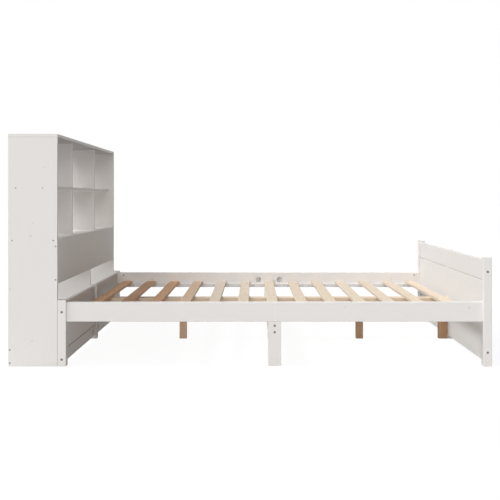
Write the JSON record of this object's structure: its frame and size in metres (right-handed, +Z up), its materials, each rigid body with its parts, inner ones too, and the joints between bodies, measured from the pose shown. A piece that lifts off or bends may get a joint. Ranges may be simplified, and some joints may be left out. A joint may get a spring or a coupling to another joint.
{
  "type": "bookcase headboard bed",
  "caption": "Slatted double bed of whitewashed pine boards with an open-backed bookcase as its headboard and a panelled foot end.",
  "frame": {"origin": "middle of the whole bed on the floor", "axes": "+X from the bookcase to the foot end, +Y from the near side to the far side, +Z up"},
  "size_m": [2.3224, 1.72, 1.116],
  "materials": {
    "white_pine": "whitewashed pine, satin, faint grain and knots",
    "natural_pine": "planed pine, bare",
    "dowel_beech": "bare beech",
    "zinc_steel": "dull zinc plate"
  },
  "bodies": {
    "root": {"bookcase_top_board": "white_pine", "bookcase_shelf": "white_pine", "bookcase_deck_board": "white_pine", "bookcase_back_rail": "white_pine", "bookcase_centre_upright": "white_pine", "bookcase_side_near": "white_pine", "front_panel_near": "white_pine", "divider_upper_near": "white_pine", "divider_lower_near": "white_pine", "bookcase_side_far": "white_pine", "front_panel_far": "white_pine", "divider_upper_far": "white_pine", "divider_lower_far": "white_pine", "head_post_near": "white_pine", "foot_post_near": "white_pine", "head_bottom_board_near": "white_pine", "head_panel_near": "white_pine", "foot_panel_near": "white_pine", "foot_top_board_near": "white_pine", "head_post_far": "white_pine", "foot_post_far": "white_pine", "head_bottom_board_far": "white_pine", "head_panel_far": "white_pine", "foot_panel_far": "white_pine", "foot_top_board_far": "white_pine", "head_centre_post": "white_pine", "foot_centre_stile": "white_pine", "side_rail_near_head": "white_pine", "slat_ledge_near_head": "white_pine", "side_rail_near_foot": "white_pine", "slat_ledge_near_foot": "white_pine", "mid_leg_near": "white_pine", "side_rail_far_head": "white_pine", "slat_ledge_far_head": "white_pine", "side_rail_far_foot": "white_pine", "slat_ledge_far_foot": "white_pine", "mid_leg_far": "white_pine", "cross_beam": "white_pine", "centre_beam_head": "natural_pine", "centre_beam_foot": "natural_pine", "centre_leg_head": "natural_pine", "centre_leg_middle": "natural_pine", "centre_leg_foot": "natural_pine", "foot_end_leg": "natural_pine", "beam_cleat": "natural_pine", "slats_near": "natural_pine", "slats_far": "natural_pine", "case_screws": "zinc_steel", "wood_dowels": "dowel_beech", "panel_bolts": "zinc_steel", "barrel_nuts": "zinc_steel", "bookcase_bolts": "zinc_steel", "joint_rods": "zinc_steel", "crescent_washers": "zinc_steel", "rod_nuts": "zinc_steel", "rail_bolts": "zinc_steel", "ledge_screws": "zinc_steel", "leg_bolts": "zinc_steel", "beam_screws": "zinc_steel", "slat_screws": "zinc_steel"}
  },
  "joints": []
}
